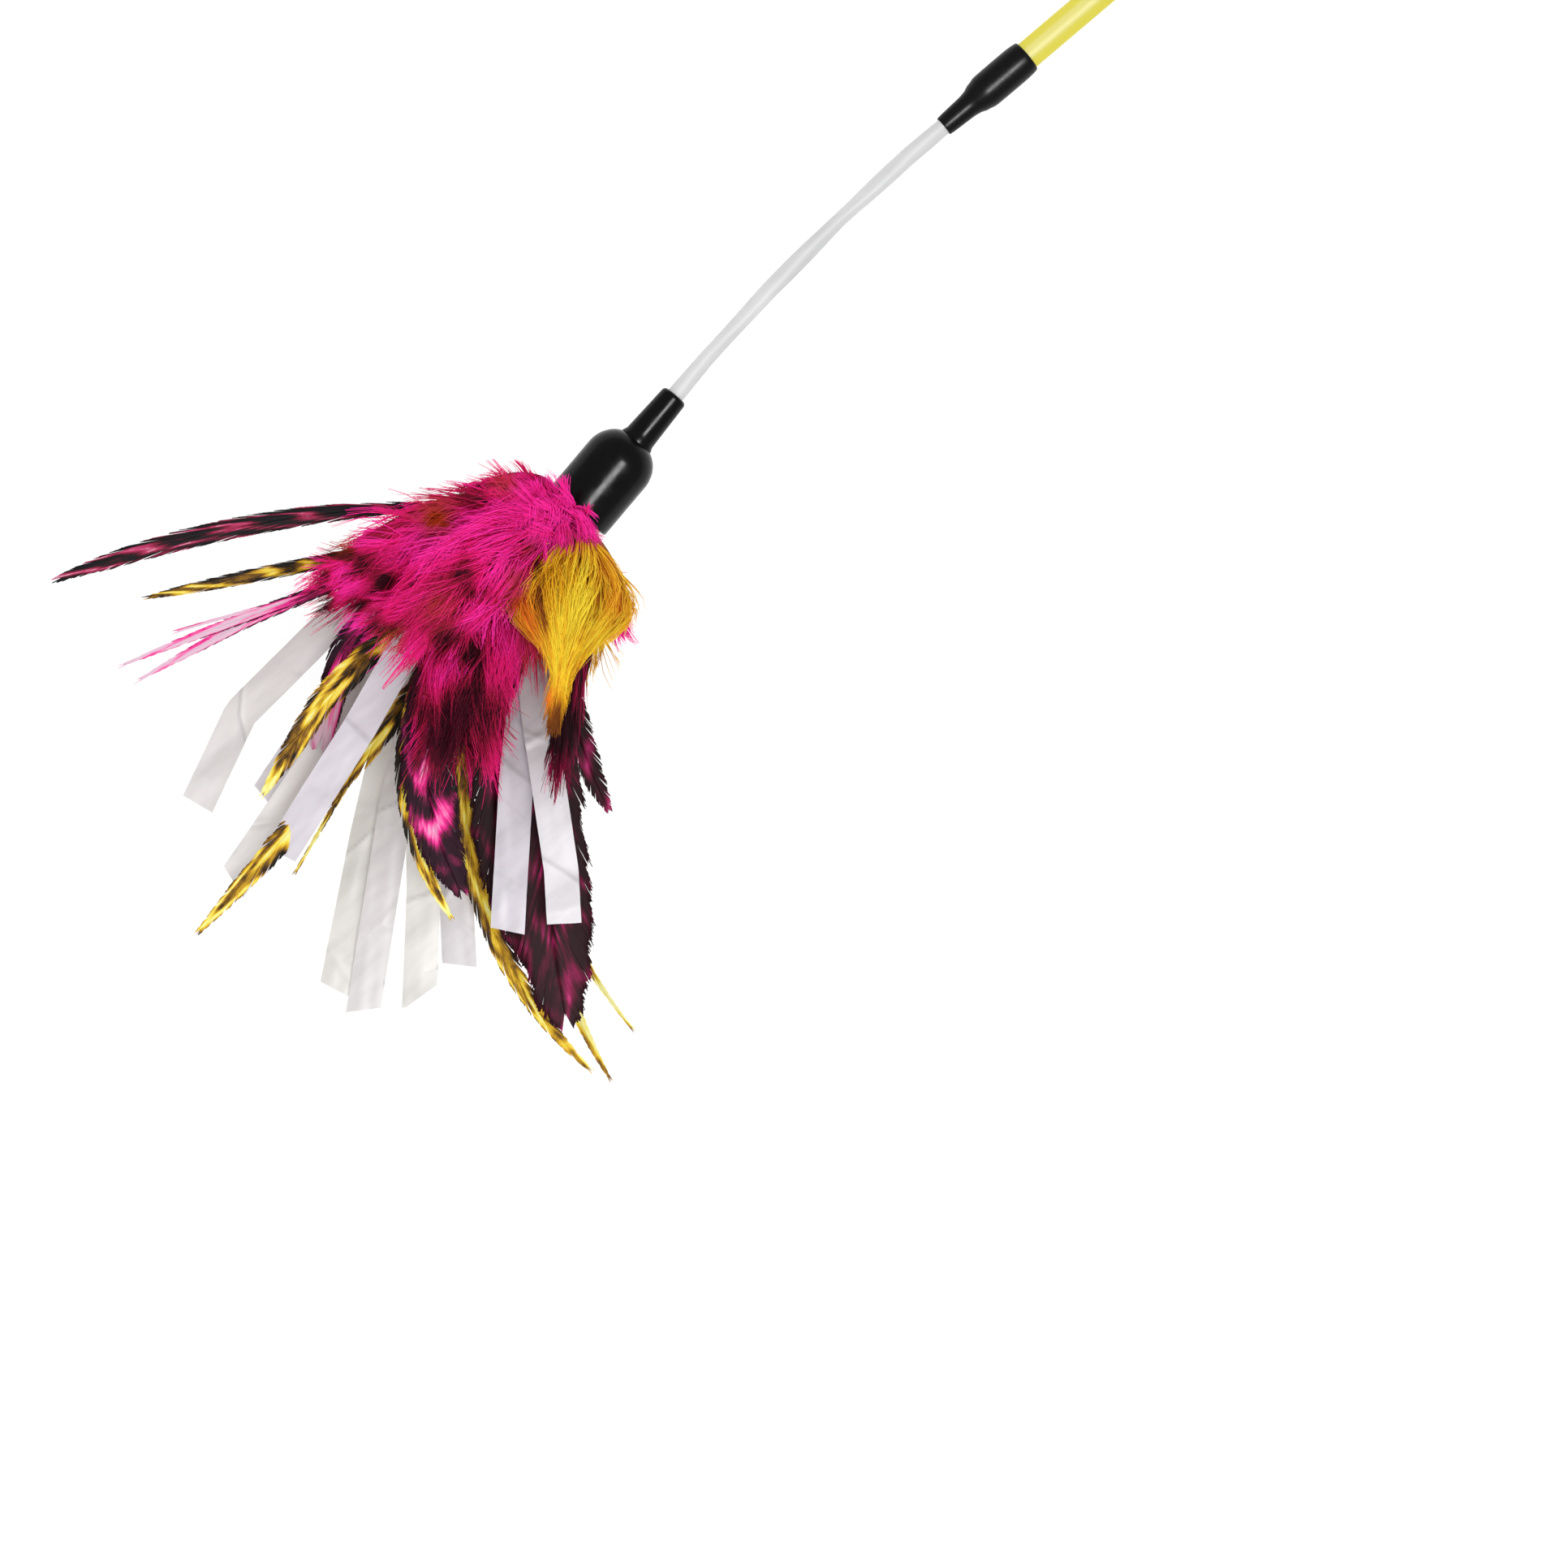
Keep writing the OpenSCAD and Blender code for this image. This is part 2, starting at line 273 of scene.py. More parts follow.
rubber_black, shader = new_material(
    "rubber_black", RUBBER_BLACK, roughness=0.3, Specular_IOR_Level=0.13)
pores = grain(rubber_black, scale=1500, detail=4)
feed(rubber_black, shader.inputs["Roughness"],
     ramp(rubber_black, pores, [(0.35, 0.26), (0.75, 0.38)]))
bumpy(rubber_black, shader, pores, strength=0.2, depth_mm=0.03)
dress("butt_cap", rubber_black)

# Coupler sleeve: a black rubber sleeve shrunk over the tube's end and the stem. It
# necks down in a short cone, and its ends are soft and a little rolled.
SLEEVE_WALL = 0.75
SLEEVE_GRIP = 12.5
SLEEVE_CONE = 3.4
SLEEVE_LIP = 0.5
SLEEVE_TIP_WALL = 0.28
SLEEVE_TIP_LIP = 0.2
# what grips the stem is bored this much wider than the stem
STEM_FIT = 0.05
TURNING_STEPS = 64
WELD = 0.001
# a point that is measured along the wand, in millimetres, goes to its place
WAND = Matrix.Scale(MM, 4)


def arc(centre, radius, start, end, steps=8):
    """Points on an arc between two angles in degrees."""
    angles = np.radians(np.linspace(start, end, steps + 1))
    return [(centre[0] + radius * math.cos(a), centre[1] + radius * math.sin(a)) for a in angles]


def placed(name, form, place, material, smooth_angle=40):
    """Makes an object of a form, with its place in its mesh."""
    mesh = bpy.data.meshes.new(name)
    form.to_mesh(mesh)
    form.free()
    mesh.transform(place)
    mesh.materials.append(material)
    mesh.shade_smooth()
    mesh.set_sharp_from_angle(angle=math.radians(smooth_angle))
    piece = bpy.data.objects.new(name, mesh)
    bpy.context.scene.collection.objects.link(piece)
    return piece


def turned(name, outline, place, material, smooth_angle=40):
    """Turns a closed outline of (length, radius) points round the X axis."""
    form = bmesh.new()
    ring = [form.verts.new((x, 0, r)) for x, r in outline]
    edges = [form.edges.new(pair) for pair in zip(ring, ring[1:] + ring[:1])]
    bmesh.ops.spin(form, geom=ring + edges, cent=(0, 0, 0), axis=(1, 0, 0),
                   angle=math.tau, steps=TURNING_STEPS, use_merge=True)
    bmesh.ops.remove_doubles(form, verts=form.verts, dist=WELD)
    bmesh.ops.recalc_face_normals(form, faces=form.faces)
    return placed(name, form, place, material, smooth_angle)


sleeve_low, sleeve_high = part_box("coupler_sleeve")
sleeve_wide = (sleeve_high.y - sleeve_low.y) / 2 / MM
sleeve_len = (sleeve_high.x - sleeve_low.x) / MM
tube_r = sleeve_wide - SLEEVE_WALL
root_low, root_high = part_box("stem_root")
stem_r = (root_high.z - root_low.z) / 2 / MM
sleeve_slim = stem_r + SLEEVE_WALL + STEM_FIT
cone_end = SLEEVE_GRIP + SLEEVE_CONE
outline = [(0, tube_r)]
outline += arc((SLEEVE_LIP, tube_r + 0.02), SLEEVE_LIP, 180, 110)
# it draws in over the tube's end, is fullest half way, and its long shoulder runs into
# a slim part that thins towards its tip
outline += [(1.2, sleeve_wide - 0.12), (2.4, sleeve_wide - 0.03), (4, sleeve_wide),
            (8, sleeve_wide), (SLEEVE_GRIP - 1.8, sleeve_wide - 0.02),
            (SLEEVE_GRIP - 0.8, sleeve_wide - 0.10), (SLEEVE_GRIP, sleeve_wide - 0.34),
            (SLEEVE_GRIP + SLEEVE_CONE * 0.3, sleeve_slim + 0.60),
            (SLEEVE_GRIP + SLEEVE_CONE * 0.6, sleeve_slim + 0.16),
            (cone_end, sleeve_slim - 0.10), (cone_end + 1.5, sleeve_slim - 0.20)]
sleeve_tip = stem_r + SLEEVE_TIP_WALL
outline += [(sleeve_len - 1.2, sleeve_tip + 0.12)]
outline += arc((sleeve_len - SLEEVE_TIP_LIP, sleeve_tip - SLEEVE_TIP_LIP),
               SLEEVE_TIP_LIP, 90, 0, 4)
sleeve_bore = stem_r + STEM_FIT
outline += [(sleeve_len, sleeve_bore), (cone_end, sleeve_bore), (SLEEVE_GRIP, tube_r)]
sleeve = turned("coupler_sleeve_skin", outline,
                WAND @ Matrix.Translation((sleeve_low.x / MM, 0, 0)), rubber_black)
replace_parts(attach(sleeve, "handle"), "coupler_sleeve")

# Springy stem: one milky plastic rod, drawn a little oval and twisted, and gripped by the sleeve
# and the cup's neck. It bends along its free length, so it is drawn in one stretch round each
# joint, and the stretches meet face to face half way between the joints.
STEM_PITCH = 66
STEM_FLAT = 0.86
STEM_SIDES = 24
STEM_IN_SLEEVE = 5
STEM_IN_NECK = 11.5
STEM_CUTS = 24
STEM_SMOOTH_ANGLE = 50
# its thickness wanders by two shares, each over its own length in mm
SLOW_WANDER, SLOW_LEN = 0.03, 7.3
QUICK_WANDER, QUICK_LEN = 0.02, 3.1
# two halves of a stretch lose the end faces that are this close to the joint, and their
# rims are welded where they are this close to each other
FACE_GAP = 0.2
SEAM_GAP = 0.12

stem_milky, shader = new_material(
    "stem_milky", (0.56, 0.56, 0.56), roughness=0.5, IOR=1.46, Transmission_Weight=0.05,
    Specular_IOR_Level=0.3)
cloud = grain(stem_milky, scale=260, stretch=(0.25, 1, 1))
feed(stem_milky, shader.inputs["Base Color"],
     ramp(stem_milky, cloud, [(0.3, (0.53, 0.53, 0.535)), (0.7, (0.60, 0.60, 0.60))]))
bumpy(stem_milky, shader, grain(stem_milky, scale=700, stretch=(0.15, 1, 1)),
      strength=0.3, depth_mm=0.05)


def stem_piece(name, start, end, before):
    """A stretch of the twisted rod between two points. before is the length of rod
    up to its start, in mm."""
    form = bmesh.new()
    bmesh.ops.create_cone(form, cap_ends=True, segments=STEM_SIDES, radius1=1, radius2=1, depth=1)
    rails = [e for e in form.edges if abs(e.verts[0].co.z - e.verts[1].co.z) > 0.5]
    bmesh.ops.subdivide_edges(form, edges=rails, cuts=STEM_CUTS, use_grid_fill=True)
    line = end - start
    ahead = line.normalized()
    left = up.cross(ahead)
    for vert in form.verts:
        share = vert.co.z + 0.5
        run = before + share * line.length / MM
        angle = math.atan2(vert.co.y, vert.co.x)
        twist = math.tau * run / STEM_PITCH
        wide = stem_r * (1 + SLOW_WANDER * math.sin(run / SLOW_LEN)
                         + QUICK_WANDER * math.sin(run / QUICK_LEN))
        # the rod's flat side turns along its length
        flat = 1 - (1 - STEM_FLAT) * math.cos(angle - twist) ** 2
        r = wide * flat * MM
        vert.co = start + share * line + r * (math.cos(angle) * left + math.sin(angle) * up)
    bmesh.ops.recalc_face_normals(form, faces=form.faces)
    return placed(name, form, Matrix(), stem_milky, STEM_SMOOTH_ANGLE)


stem_joints = ["stem_bend", "stem_sway", "stem_bend_tip", "stem_sway_tip"]
bends = [joint_at[name] for name in stem_joints]
neck_at = bends[-1] + along * (bends[-1] - bends[-2]).length / 2
places = ([Vector((sleeve_high.x - STEM_IN_SLEEVE * MM, 0, 0))]
          + [(a + b) / 2 for a, b in zip(bends, bends[1:])]
          + [neck_at + along * STEM_IN_NECK * MM])
stem_nodes = [["stem_root", "stem_link_1"], ["stem_link_2"], ["stem_link_3"], ["stem_tip"]]
# the length of rod that is drawn so far, in mm
run = 0
for i in range(len(bends)):
    # a stretch bends at its joint, so it is drawn in two straight halves that join there
    halves = []
    for start, end in ((places[i], bends[i]), (bends[i], places[i + 1])):
        halves.append(stem_piece(f"stem_half_{i}", start, end, run))
        run += (end - start).length / MM
    form = bmesh.new()
    for half in halves:
        form.from_mesh(half.data)
        bpy.data.objects.remove(half)
    inner = [f for f in form.faces if len(f.verts) == STEM_SIDES
             and (f.calc_center_median() - bends[i]).length < FACE_GAP * MM]
    bmesh.ops.delete(form, geom=inner, context="FACES_ONLY")
    seam = [v for v in form.verts if (v.co - bends[i]).length < 1.2 * stem_r * MM]
    bmesh.ops.remove_doubles(form, verts=seam, dist=SEAM_GAP * MM)
    stretch = placed(f"springy_stem_{i + 1}", form, Matrix(), stem_milky, STEM_SMOOTH_ANGLE)
    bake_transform(stretch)
    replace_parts(stretch, *stem_nodes[i])

# Cup: a glossy black moulding. Its neck is pushed on to the stem, its shoulder is round
# and its mouth is open for the tuft.
CUP_SHOULDER = 6
CUP_LEAN = 1.1
CUP_WALL = 1.2
CUP_NECK = 12
NECK_WALL = 1
NECK_FLARE = 0.45
NECK_LIP = 0.9
CUP_LIP = 0.5
CUP_INNER_LIP = 0.2
CUP_SMOOTH_ANGLE = 50

cup_black, shader = new_material(
    "cup_black", (0.002, 0.002, 0.002), roughness=0.2, Specular_IOR_Level=0.12)
flow = grain(cup_black, scale=420, detail=2)
feed(cup_black, shader.inputs["Roughness"],
     ramp(cup_black, flow, [(0.35, 0.18), (0.75, 0.3)]))
bumpy(cup_black, shader, flow, strength=0.12, depth_mm=0.05)
cup_r = -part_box("cup")[0].z / MM
cup_len = (mouth - neck_at).length / MM
neck_bore = stem_r + STEM_FIT
neck_tip = neck_bore + NECK_WALL
neck_base = neck_tip + NECK_FLARE
shoulder_mid = cup_r - CUP_SHOULDER
outline = [(0, neck_bore)] + arc((NECK_LIP, neck_tip - NECK_LIP), NECK_LIP, 180, 90, 8)
outline += [(CUP_NECK - 2.5, neck_base - 0.08), (CUP_NECK - 0.6, neck_base + 0.02),
            (CUP_NECK + 0.35, neck_base + 0.42)]
# the shoulder is a little longer than a round one
outline += [(CUP_NECK + CUP_LEAN * (x + CUP_SHOULDER), r)
            for x, r in arc((0, shoulder_mid), CUP_SHOULDER, 158, 90, 14)]
outline += arc((cup_len - CUP_LIP, cup_r - CUP_LIP), CUP_LIP, 90, 0, 5)
outline += arc((cup_len - CUP_INNER_LIP, cup_r - CUP_WALL + CUP_INNER_LIP),
               CUP_INNER_LIP, 0, -90, 3)
outline += arc((CUP_NECK + CUP_SHOULDER, shoulder_mid), CUP_SHOULDER - CUP_WALL, 90, 180, 10)
outline += [(CUP_NECK + CUP_WALL, neck_bore)]
axes = Matrix((along, aside, up)).transposed().to_4x4()
cup_place = Matrix.Translation(neck_at) @ axes @ WAND
cup = turned("cup_skin", outline, cup_place, cup_black, CUP_SMOOTH_ANGLE)
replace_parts(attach(cup, "lure"), "cup")

# Quills, thread and glue: the tuft's quills lie side by side, tied with thread, and set
# in clear amber glue that bulges out of the cup's mouth.
glue_amber, shader = new_material(
    "glue_amber", (0.45, 0.30, 0.12), roughness=0.3, Transmission_Weight=0.3, IOR=1.5)
feed(glue_amber, shader.inputs["Base Color"],
     ramp(glue_amber, grain(glue_amber, scale=500),
          [(0.3, (0.35, 0.2, 0.07)), (0.7, (0.6, 0.42, 0.2))]))
dress("glue_plug", glue_amber)

quill_horn, shader = new_material("quill_horn", (0.62, 0.52, 0.36), roughness=0.4)
feed(quill_horn, shader.inputs["Base Color"],
     ramp(quill_horn, grain(quill_horn, scale=800, stretch=(0.1, 1, 1)),
          [(0.3, (0.42, 0.30, 0.16)), (0.7, (0.74, 0.66, 0.5))]))
dress("quill_bundle", quill_horn)

thread_white, shader = new_material(
    "thread_white", (0.75, 0.74, 0.72), roughness=0.8, Sheen_Weight=0.3)
turns = grain(thread_white, scale=2200, detail=1, stretch=(1, 0.1, 0.1))
bumpy(thread_white, shader, turns, strength=0.8, depth_mm=0.1)
dress("thread_binding", thread_white)

# Film strips: ten strips of thin crackling film, tied in with the quills. They are cut by
# knife, so their edges are straight and their ends square or slanting. They bend near the
# cup, run straight from there, and keep the kinks of the bag they were packed in.
STRIP_LEN = 108
STRIP_W = 7
FILM_T = 0.12
FILM_SMOOTH_ANGLE = 50
STRIP_STEPS = (140, 16)
BEND = 0.5
# a strip is gathered to this share of its width in the cup, and opens out at this rate
GATHERED = 0.16
OPENING = 5
# its end is cut from this share of its length on, and its longest corner reaches this one
CUT_FROM = 0.95
STRIP_REACH = 1.02
# what bows a strip, in mm: its curl across, its creases and a ripple. A crease lies at a share of
# the length and slopes by a share, and a painted shade line runs along it, which is faint along
# those by chance.
CURL = (0.3, 0.7)
CREASES = 3
CREASE_PLACES = (0.3, 0.97)
CREASE_SLOPE = 0.05
CREASE_RISE = 0.28
CREASE_REACH = 1.3
FAINT_CREASE_SHADE = 0.4
RIPPLE = 0.25
# Strips and feathers leave the cup on a ball round its mouth. The lowest layer starts at
# the low lift, each layer lies higher by the layer lift, and all settle towards the level
# by a share of their lift. Nothing hangs below the floor height.
MOUTH_BALL = 7.85
LOW_LIFT = -5
LAYER_LIFT = 3.2
SETTLE = 0.8
FLOOR_Z = -7.35
FINE_STEPS = 120
OVERRUN = 1.3
# a point of the tuft in millimetres, X out of the cup and Z up, goes to its place
TUFT = Matrix.Translation(mouth) @ axes @ WAND
# A strip: fan, fan turn, layer, length share, roll, end slant, then its kinks, each at a
# share of the length, with how far it turns up and aside there, and its tint: white at 0,
# lavender at 0.5, warm grey at 1.
STRIPS = {
    "film_strip_1": (-42, 37, 0, 0.89, 6, 0.1, [(0.79, 3, 20)], 0.85),
    "film_strip_2": (-22, 28, 2, 0.9, -6, 0.5, [(0.62, 4, 0)], 0.8),
    "film_strip_3": (-23, 34, 6, 0.81, 8, -0.1, [(0.66, -5, -3)], 0.5),
    "film_strip_4": (-21, 48, 0, 1.0, 4, 0.3, [(0.7, 3, 2)], 1),
    "film_strip_5": (-13, 41, 1, 1.0, 4, -0.3, [(0.6, -2, 3)], 0.8),
    "film_strip_6": (-20, 61, 3.5, 0.97, 4, -0.8, [(0.8, 2, -3)], 1),
    "film_strip_7": (-11, 52, 3, 0.87, 4, 0.2, [(0.7, 2, 2)], 0.7),
    "film_strip_8": (18, 32, 8, 0.75, 4, 0.05, [(0.52, 3, -1), (0.86, 8, -5)], 0.15),
    "film_strip_9": (21.5, 12.5, 7, 0.75, 4, 0.2, [(0.6, -3, 3)], 0.5),
    "film_strip_10": (-44, 56, 1, 0.78, 8, 0.4, [(0.6, 4, -5)], 0.6),
}


def kept_value(material, name):
    """A value that the mesh keeps under this name for each of its points."""
    node = material.node_tree.nodes.new("ShaderNodeAttribute")
    node.attribute_name = name
    return node.outputs["Fac"]


def mixed(material, share, below, above, way="MIX"):
    """Two colours that are mixed at each point of the surface."""
    node = material.node_tree.nodes.new("ShaderNodeMix")
    node.data_type, node.blend_type = "RGBA", way
    # its colour sockets go by number, because its other kinds have the same names
    for number, value in ((0, share), (6, below), (7, above)):
        feed(material, node.inputs[number], value)
    return node.outputs[2]


film, shader = new_material("film", (0.80, 0.78, 0.80), roughness=0.45, Specular_IOR_Level=0.3)
film_tint = ramp(film, kept_value(film, "tone"), [
    (0, (0.76, 0.74, 0.76)), (0.5, (0.60, 0.56, 0.61)), (1, (0.66, 0.64, 0.61))])
# painted shade: fine darker streaks where the film crinkles
crinkle_shade = ramp(film, grain(film, scale=240, detail=5, stretch=(0.2, 1, 1)),
                [(0.32, 0.84), (0.62, 1.0)])
# painted shade: the film is darker along its creases
crease_shade_colour = ramp(film, kept_value(film, "painted_crease_shade"), [(0.3, 1.0), (1, 0.76)])
crinkle_shaded_tint = mixed(film, 1, film_tint, crinkle_shade, "MULTIPLY")
feed(film, shader.inputs["Base Color"], mixed(film, 1, crinkle_shaded_tint, crease_shade_colour, "MULTIPLY"))
bumpy(film, shader, grain(film, scale=420, detail=4), strength=0.3, depth_mm=0.1)


def aim(fan, lift):
    """The unit vector at a fan angle and a lift angle, in degrees."""
    turn, rise = np.radians(fan), np.radians(lift)
    level = np.cos(rise)
    return np.stack([level * np.cos(turn), level * np.sin(turn), np.sin(rise)], -1)


def follow(fan, fan_turn, lift, lift_turn, length, bend=1, roll=0, kinks=()):
    """How a soft piece runs from the mouth of the cup: a function of a share of its
    length, which gives the point there and the directions ahead, aside and up."""
    share = np.linspace(0, OVERRUN, FINE_STEPS + 1)
    fans = fan + fan_turn * np.clip(share / bend, 0, 1)
    lifts = lift + lift_turn * np.clip(share, 0, 1)
    for place, rise, swing in kinks:
        fans = fans + swing * (share > place)
        lifts = lifts + rise * (share > place)
    ahead = aim(fans, lifts)
    stride = (ahead[1:] + ahead[:-1]) / 2 * length * OVERRUN / FINE_STEPS
    points = MOUTH_BALL * aim(fan, lift) + np.vstack([np.zeros(3), np.cumsum(stride, 0)])
    flat = np.radians(fans)
    side = np.stack([-np.sin(flat), np.cos(flat), np.zeros_like(flat)], -1)
    rise = np.cross(ahead, side)
    c, s = math.cos(math.radians(roll)), math.sin(math.radians(roll))
    side, rise = side * c + rise * s, rise * c - side * s

    def at(place):
        return [np.stack([np.interp(place, share, rows[:, k]) for k in range(3)], -1)
                for rows in (points, ahead, side, rise)]
    return at


def film_strip(name, fan, turn, layer, length, roll, slant, kinks, tint, seed):
    """A strip: a grid laid along its route, then given the film's thickness."""
    rng = np.random.default_rng(seed)
    lift = LOW_LIFT + LAYER_LIFT * layer
    at = follow(fan, turn, lift, -lift * SETTLE, STRIP_LEN * length, BEND, roll, kinks)
    creases = [place for place, _, _ in kinks] + list(rng.uniform(*CREASE_PLACES, CREASES))
    slopes = rng.uniform(-CREASE_SLOPE, CREASE_SLOPE, len(creases))
    curl = rng.uniform(*CURL)
    # the kinks are sharp folds with a full painted shade line, and the other creases get a faint
    # one
    crease_shade_depths = [1] * len(kinks) + [FAINT_CREASE_SHADE] * CREASES
    form = bmesh.new()
    painted_crease_shade = form.verts.layers.float.new("painted_crease_shade")
    bmesh.ops.create_grid(form, x_segments=STRIP_STEPS[0], y_segments=STRIP_STEPS[1], size=1)
    for vert in form.verts:
        u, v = (vert.co.x + 1) / 2, vert.co.y
        # narrow where it is gathered in the cup, slanting where it is cut off
        wide = STRIP_W / 2 * min(1, GATHERED + OPENING * u)
        u = u * (1 + slant * v * wide / STRIP_LEN * (u > CUT_FROM))
        point, ahead, side, rise = at(min(u, STRIP_REACH))
        bow = curl * (1 - v * v) * (0.4 + 0.6 * math.sin(3 * u + seed))
        for place, slope, depth in zip(creases, slopes, crease_shade_depths):
            gap = abs(u - place - slope * v) * STRIP_LEN * length
            crease = max(0, 1 - gap / CREASE_REACH)
            bow += CREASE_RISE * crease
            vert[painted_crease_shade] = max(vert[painted_crease_shade], depth * crease)
        bow += RIPPLE * noise.noise(Vector((u * 9, v * 1.5, seed)))
        spot = point + side * v * wide + rise * bow
        vert.co = (spot[0], spot[1], max(spot[2], FLOOR_Z + 0.1 * layer))
    bmesh.ops.recalc_face_normals(form, faces=form.faces)
    strip = placed(name + "_sheet", form, TUFT, film, FILM_SMOOTH_ANGLE)
    tints = strip.data.attributes.new("tone", "FLOAT", "POINT")
    tints.data.foreach_set("value", np.full(len(strip.data.vertices), tint, np.float32))
    wall = strip.modifiers.new("film thickness", "SOLIDIFY")
    wall.thickness = FILM_T * MM
    wall.offset = 0
    thin = strip.data
    strip.data = bpy.data.meshes.new_from_object(
        strip.evaluated_get(bpy.context.evaluated_depsgraph_get()))
    strip.modifiers.clear()
    strip.data.name = thin.name
    bpy.data.meshes.remove(thin)
    # the cut edges stay sharp
    strip.data.set_sharp_from_angle(angle=math.radians(FILM_SMOOTH_ANGLE))
    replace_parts(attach(strip, "tuft"), name)


for count, (name, facts) in enumerate(STRIPS.items()):
    film_strip(name, *facts, seed=count + 1)

# Hackles: long, slim cock feathers, tied in by their quills. Each has close barbs that
# sweep forward, stick together in small groups and part at the edges. They are dyed,
# and their dark bars and edges are the bird's own.
HACKLE_LEN = 120
HACKLE_W = 5
BARB_STEP = 0.27
BARB_POINTS = 7
BARB_R = 0.13
BARB_TAPER = 0.6
LEAST_BARB = 0.3
# the barbs' angle as a share of the feather's, at the root, and what it loses by the tip
SWEEP_AT_ROOT, SWEEP_LOSS = 1.15, 0.55
# how much single barbs differ in place, length and tone
BARB_SPREAD, BARB_VARIES, BARB_TONE = 0.1, 0.03, 0.05
QUILL_R = 0.36
QUILL_TIP_R = 0.07
QUILL_POINTS = 40
QUILL_TONE = 0.3
# the quill lies this much under the barbs, which stand on it between these shares
QUILL_DROP = 0.1
BARBS_FROM, BARBS_TO = 0.05, 0.985
# barbs gather in groups of these shares of the length, and lean to their group's middle
GROUP_LENGTHS = (0.01, 0.045)
GROUPS = 200
GROUP_PULL = 0.35
GROUP_MIDDLE = 0.02
GROUP_TONE = 0.2
# how much groups differ in length, on the vane and in the down
RAGGED_VANE, RAGGED_DOWN = 0.16, 0.3
# barbs droop by this share of their reach aside, and groups differ this much in height, mm
BARB_DROOP, GROUP_RISE = 0.05, 0.12
# above this half width, a feather's barbs part less
SLIM_HALF = 2.2
# the barbs are loose down up to this share, and part at this angle there
LOOSE_UP_TO = 0.35
LOOSE_ANGLE = 18
SWING_AT = (0.55, 0.72)
STRAND_SIDES = 4


def draw_strands(name, strands, material, patches=None):
    """A mesh of fine tapered strands. A strand is its points, radii and tones. Patches give each
    point a change of tone, which is painted light and shade, and a rust."""
    curve = bpy.data.curves.new(name, "CURVE")
    curve.dimensions = "3D"
    curve.bevel_depth = 1
    curve.bevel_resolution = 0
    curve.use_fill_caps = True
    for points, radii, _ in strands:
        spline = curve.splines.new("POLY")
        spline.points.add(len(points) - 1)
        low = np.column_stack([points[:, :2], np.maximum(points[:, 2], FLOOR_Z + radii)])
        spline.points.foreach_set("co", np.column_stack([low, np.ones(len(low))]).ravel())
        spline.points.foreach_set("radius", radii)
    drawn = bpy.data.objects.new(name, curve)
    bpy.context.scene.collection.objects.link(drawn)
    mesh = bpy.data.meshes.new_from_object(
        drawn.evaluated_get(bpy.context.evaluated_depsgraph_get()))
    bpy.data.objects.remove(drawn)
    # the curve's mesh holds the ends of all strands first, the last strand ahead, and
    # then their sides, so the ends are welded on once the tones are set
    ends = [[tone[-1], tone[0]] for _, _, tone in reversed(strands)]
    tones = np.concatenate(ends + [tone for _, _, tone in strands])
    tones = np.repeat(tones, STRAND_SIDES)
    rust = np.zeros(len(tones))
    if patches:
        points = np.empty(3 * len(tones), np.float32)
        mesh.vertices.foreach_get("co", points)
        # the patches add painted highlights and shade to the tones
        painted_light_change, rust = patches(points.reshape(-1, 3))
        tones += painted_light_change
    for label, values in (("tone", tones), ("rust", rust)):
        layer = mesh.attributes.new(label, "FLOAT", "POINT")
        layer.data.foreach_set("value", values.astype(np.float32))
    form = bmesh.new()
    form.from_mesh(mesh)
    bmesh.ops.remove_doubles(form, verts=form.verts, dist=WELD)
    form.to_mesh(mesh)
    form.free()
    mesh.transform(TUFT)
    mesh.materials.clear()
    mesh.materials.append(material)
    mesh.shade_smooth()
    piece = bpy.data.objects.new(name, mesh)
    bpy.context.scene.collection.objects.link(piece)
    return piece


dyes = {}


def dyed(slot, stops, speckle=0.25, roughness=0.6, rust=None):
    """A dyed feather: its tone picks the colour, with a fine speckle over it, and it turns
    to the rusty colour where its rust is strong."""
    material, shader = new_material(
        slot + "_dye", stops[-1][1], roughness, Specular_IOR_Level=0.1)
    speckled = sum_of(material, "MULTIPLY_ADD", grain(material, scale=900, detail=4), speckle,
                      kept_value(material, "tone"))
    level = sum_of(material, "SUBTRACT", speckled, speckle / 2)
    colour = ramp(material, level, stops)
    if rust:
        colour = mixed(material, kept_value(material, "rust"), colour, (*rust, 1))
    feed(material, shader.inputs["Base Color"], colour)
    dyes[slot] = material


dyed("hackle_gold", [
    (0.08, (0.012, 0.008, 0.004)), (0.26, (0.20, 0.09, 0.008)), (0.48, (0.66, 0.38, 0.015)),
    (0.72, (0.86, 0.70, 0.07)), (0.95, (0.88, 0.84, 0.35))])
dyed("hackle_black_pink", [
    (0.28, (0.005, 0.003, 0.005)), (0.46, (0.07, 0.004, 0.014)), (0.66, (0.34, 0.014, 0.065)),
    (0.9, (0.56, 0.06, 0.18)), (1.0, (0.58, 0.40, 0.46))])
dyed("hackle_pink", [
    (0.15, (0.02, 0.002, 0.010)), (0.36, (0.20, 0.010, 0.06)), (0.6, (0.84, 0.02, 0.28)),
    (0.82, (0.84, 0.22, 0.46)), (1.0, (0.72, 0.48, 0.60))])
dyed("hackle_maroon", [
    (0.12, (0.020, 0.003, 0.006)), (0.4, (0.10, 0.004, 0.024)), (0.68, (0.25, 0.007, 0.07)),
    (0.95, (0.52, 0.035, 0.18))])

# the soft edges of a bar, as a share of the period, the tone of the dark, what light and
# blots add to it, and where, in mm, a feather starts to pale and over what length
BAR_EDGE = 0.22
DARK_TONE = 0.14
LIGHT_TONE, BLOT_TONE = 0.66, 0.35
PALE_FROM, PALE_OVER = 42, 35


